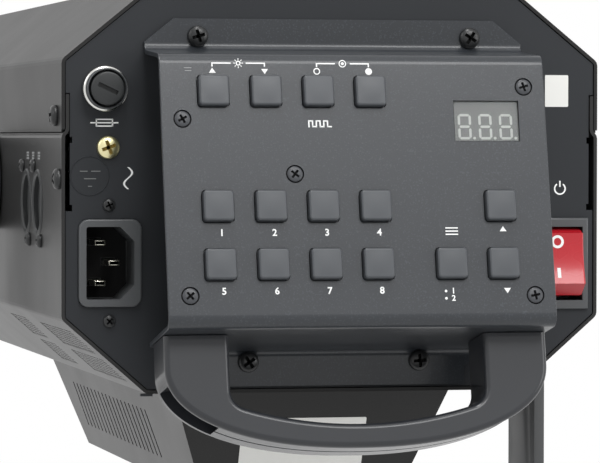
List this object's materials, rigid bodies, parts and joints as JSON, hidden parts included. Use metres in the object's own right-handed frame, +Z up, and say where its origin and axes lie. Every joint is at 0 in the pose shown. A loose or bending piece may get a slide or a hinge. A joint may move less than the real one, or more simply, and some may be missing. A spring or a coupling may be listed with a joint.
{
  "type": "followspot",
  "caption": "Followspot: octagonal sheet-metal housing with rear key panel and bow handle, focusing lens barrel, power-supply keel and tilting yoke with clamp knobs.",
  "frame": {"origin": "centre of the yoke's underside, on the axis of the hole for the stand's bolt", "axes": "+X right seen from behind the spot, +Y the way the beam goes, +Z up; the tilt axis is parallel to X"},
  "size_m": [0.2716, 0.5513, 0.2996],
  "materials": {
    "housing_paint": "black powder coat with a fine texture",
    "rear_plate_paint": "black powder coat, matte",
    "panel_paint": "dark grey powder coat with a fine speckle",
    "handle_plastic": "moulded, satin",
    "black_plastic": "moulded, satin",
    "key_plastic": "moulded, satin",
    "switch_red": "translucent, glossy",
    "bare_metal": "machined",
    "plated_metal": "nickel plated",
    "circuit_board": "solder mask",
    "lens_glass": "polished",
    "display_face": "smoked window over unlit segments",
    "lamp_dome": "phosphor under a clear dome",
    "friction_pad": "matte"
  },
  "bodies": {
    "yoke": {"yoke": "housing_paint"},
    "head": {"upper_cover": "housing_paint", "lower_tray": "housing_paint", "rear_plate": "rear_plate_paint", "front_plate": "housing_paint", "keel_box": "housing_paint", "power_supply": "circuit_board", "vent_screen_left": "housing_paint", "vent_screen_right": "housing_paint", "control_box": "panel_paint", "key_board": "circuit_board", "display_module": "display_face", "display_window": "lens_glass", "handle": "handle_plastic", "mains_inlet": "black_plastic", "inlet_pin_upper": "plated_metal", "inlet_pin_lower": "plated_metal", "inlet_pin_earth": "plated_metal", "fuse_holder": "plated_metal", "rocker_bezel": "black_plastic", "data_socket_in": "black_plastic", "data_socket_out": "black_plastic", "optics_chassis": "bare_metal", "heat_sink": "bare_metal", "led_module": "lamp_dome", "fan_frame": "black_plastic", "condenser_lens": "lens_glass", "wheel_motor": "plated_metal", "iris_housing": "bare_metal", "driver_board": "circuit_board", "pivot_boss_left": "bare_metal", "pivot_boss_right": "bare_metal", "friction_washer_left": "friction_pad", "friction_washer_right": "friction_pad"},
    "tilt_knob_left": {"tilt_knob_left": "black_plastic"},
    "tilt_knob_right": {"tilt_knob_right": "black_plastic"},
    "fuse_cartridge": {"fuse_cartridge": "plated_metal"},
    "fuse_cap": {"fuse_cap": "black_plastic"},
    "rocker": {"rocker": "switch_red"},
    "fan_rotor": {"fan_rotor": "black_plastic"},
    "colour_wheel": {"colour_wheel": "bare_metal"},
    "iris_lever": {"iris_lever": "black_plastic"},
    "lens_barrel": {"lens_barrel": "housing_paint", "front_lens": "lens_glass"},
    "focus_knob": {"focus_knob": "black_plastic"},
    "key_dim_up": {"key_dim_up": "key_plastic"},
    "key_dim_down": {"key_dim_down": "key_plastic"},
    "key_shutter_open": {"key_shutter_open": "key_plastic"},
    "key_blackout": {"key_blackout": "key_plastic"},
    "key_colour_1": {"key_colour_1": "key_plastic"},
    "key_colour_2": {"key_colour_2": "key_plastic"},
    "key_colour_3": {"key_colour_3": "key_plastic"},
    "key_colour_4": {"key_colour_4": "key_plastic"},
    "key_colour_5": {"key_colour_5": "key_plastic"},
    "key_colour_6": {"key_colour_6": "key_plastic"},
    "key_colour_7": {"key_colour_7": "key_plastic"},
    "key_colour_8": {"key_colour_8": "key_plastic"},
    "key_mode": {"key_mode": "key_plastic"},
    "key_up": {"key_up": "key_plastic"},
    "key_down": {"key_down": "key_plastic"}
  },
  "joints": [
    {"name": "head_tilt", "type": "hinge", "parent": "yoke", "child": "head", "pos_m": [0, 0, 0.206], "axis": [1, 0, 0], "range_deg": [-50, 50]},
    {"name": "tilt_knob_left_turn", "type": "hinge", "parent": "head", "child": "tilt_knob_left", "pos_m": [-0.13, 0, 0.206], "axis": [-1, 0, 0], "range_deg": [0, 360]},
    {"name": "tilt_knob_right_turn", "type": "hinge", "parent": "head", "child": "tilt_knob_right", "pos_m": [0.13, 0, 0.206], "axis": [1, 0, 0], "range_deg": [0, 360]},
    {"name": "key_dim_up_press", "type": "slide", "parent": "head", "child": "key_dim_up", "axis": [0, 0.976, -0.2176], "range_m": [0, 0.001], "stiffness_N_per_m": 1200},
    {"name": "key_dim_down_press", "type": "slide", "parent": "head", "child": "key_dim_down", "axis": [0, 0.976, -0.2176], "range_m": [0, 0.001], "stiffness_N_per_m": 1200},
    {"name": "key_shutter_open_press", "type": "slide", "parent": "head", "child": "key_shutter_open", "axis": [0, 0.976, -0.2176], "range_m": [0, 0.001], "stiffness_N_per_m": 1200},
    {"name": "key_blackout_press", "type": "slide", "parent": "head", "child": "key_blackout", "axis": [0, 0.976, -0.2176], "range_m": [0, 0.001], "stiffness_N_per_m": 1200},
    {"name": "key_colour_1_press", "type": "slide", "parent": "head", "child": "key_colour_1", "axis": [0, 0.976, -0.2176], "range_m": [0, 0.001], "stiffness_N_per_m": 1200},
    {"name": "key_colour_2_press", "type": "slide", "parent": "head", "child": "key_colour_2", "axis": [0, 0.976, -0.2176], "range_m": [0, 0.001], "stiffness_N_per_m": 1200},
    {"name": "key_colour_3_press", "type": "slide", "parent": "head", "child": "key_colour_3", "axis": [0, 0.976, -0.2176], "range_m": [0, 0.001], "stiffness_N_per_m": 1200},
    {"name": "key_colour_4_press", "type": "slide", "parent": "head", "child": "key_colour_4", "axis": [0, 0.976, -0.2176], "range_m": [0, 0.001], "stiffness_N_per_m": 1200},
    {"name": "key_colour_5_press", "type": "slide", "parent": "head", "child": "key_colour_5", "axis": [0, 0.976, -0.2176], "range_m": [0, 0.001], "stiffness_N_per_m": 1200},
    {"name": "key_colour_6_press", "type": "slide", "parent": "head", "child": "key_colour_6", "axis": [0, 0.976, -0.2176], "range_m": [0, 0.001], "stiffness_N_per_m": 1200},
    {"name": "key_colour_7_press", "type": "slide", "parent": "head", "child": "key_colour_7", "axis": [0, 0.976, -0.2176], "range_m": [0, 0.001], "stiffness_N_per_m": 1200},
    {"name": "key_colour_8_press", "type": "slide", "parent": "head", "child": "key_colour_8", "axis": [0, 0.976, -0.2176], "range_m": [0, 0.001], "stiffness_N_per_m": 1200},
    {"name": "key_mode_press", "type": "slide", "parent": "head", "child": "key_mode", "axis": [0, 0.976, -0.2176], "range_m": [0, 0.001], "stiffness_N_per_m": 1200},
    {"name": "key_up_press", "type": "slide", "parent": "head", "child": "key_up", "axis": [0, 0.976, -0.2176], "range_m": [0, 0.001], "stiffness_N_per_m": 1200},
    {"name": "key_down_press", "type": "slide", "parent": "head", "child": "key_down", "axis": [0, 0.976, -0.2176], "range_m": [0, 0.001], "stiffness_N_per_m": 1200},
    {"name": "power_rocker", "type": "hinge", "parent": "head", "child": "rocker", "pos_m": [0.07965, -0.1588, 0.1788], "axis": [1, 0, 0], "range_deg": [0, 22]},
    {"name": "fuse_draw", "type": "slide", "parent": "head", "child": "fuse_cartridge", "axis": [0, -1, 0], "range_m": [0, 0.03]},
    {"name": "fuse_cap_turn", "type": "hinge", "parent": "fuse_cartridge", "child": "fuse_cap", "pos_m": [-0.0808, -0.165, 0.2398], "axis": [0, 1, 0], "range_deg": [0, 90]},
    {"name": "fan_spin", "type": "hinge", "parent": "head", "child": "fan_rotor", "pos_m": [0, -0.08, 0.206], "axis": [0, 1, 0], "continuous": true},
    {"name": "wheel_spin", "type": "hinge", "parent": "head", "child": "colour_wheel", "pos_m": [0.038, 0.059, 0.206], "axis": [0, 1, 0], "continuous": true},
    {"name": "iris_swing", "type": "hinge", "parent": "head", "child": "iris_lever", "pos_m": [0, 0.133, 0.206], "axis": [0, 1, 0], "range_deg": [-22, 22]},
    {"name": "focus_slide", "type": "slide", "parent": "head", "child": "lens_barrel", "axis": [0, 1, 0], "range_m": [-0.03, 0.015]},
    {"name": "focus_knob_turn", "type": "hinge", "parent": "lens_barrel", "child": "focus_knob", "pos_m": [0, 0.229, 0.28], "axis": [0, 0, 1], "range_deg": [0, 360]}
  ]
}
